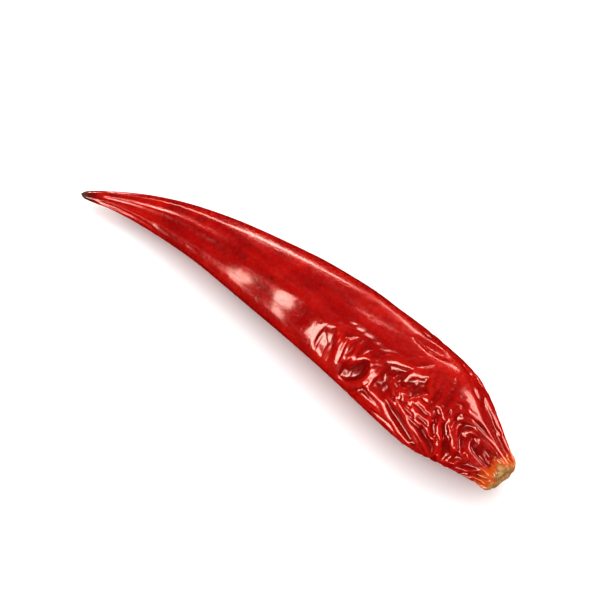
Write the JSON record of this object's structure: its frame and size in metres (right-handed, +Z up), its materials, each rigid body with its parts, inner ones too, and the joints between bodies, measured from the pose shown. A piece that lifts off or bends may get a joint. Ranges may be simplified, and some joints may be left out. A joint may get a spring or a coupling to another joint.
{
  "type": "dried chilli pepper",
  "caption": "Small dried red chilli pod without its stem, pointed at one end and puckered at the other, with wrinkled glossy skin, lying on its side.",
  "frame": {"origin": "on the surface that the pod lies on, under the middle of the pod's box", "axes": "+X from the pointed tip to the stem end, +Y level towards the side that the pod bows out to, +Z up"},
  "size_m": [0.0604, 0.012, 0.0093],
  "materials": {
    "skin": "dried leathery chilli skin, deep red and glossy, darker in the creases, orange-tan at the stem scar, grey-brown at the tip"
  },
  "bodies": {
    "root": {"pod": "skin"}
  },
  "joints": []
}
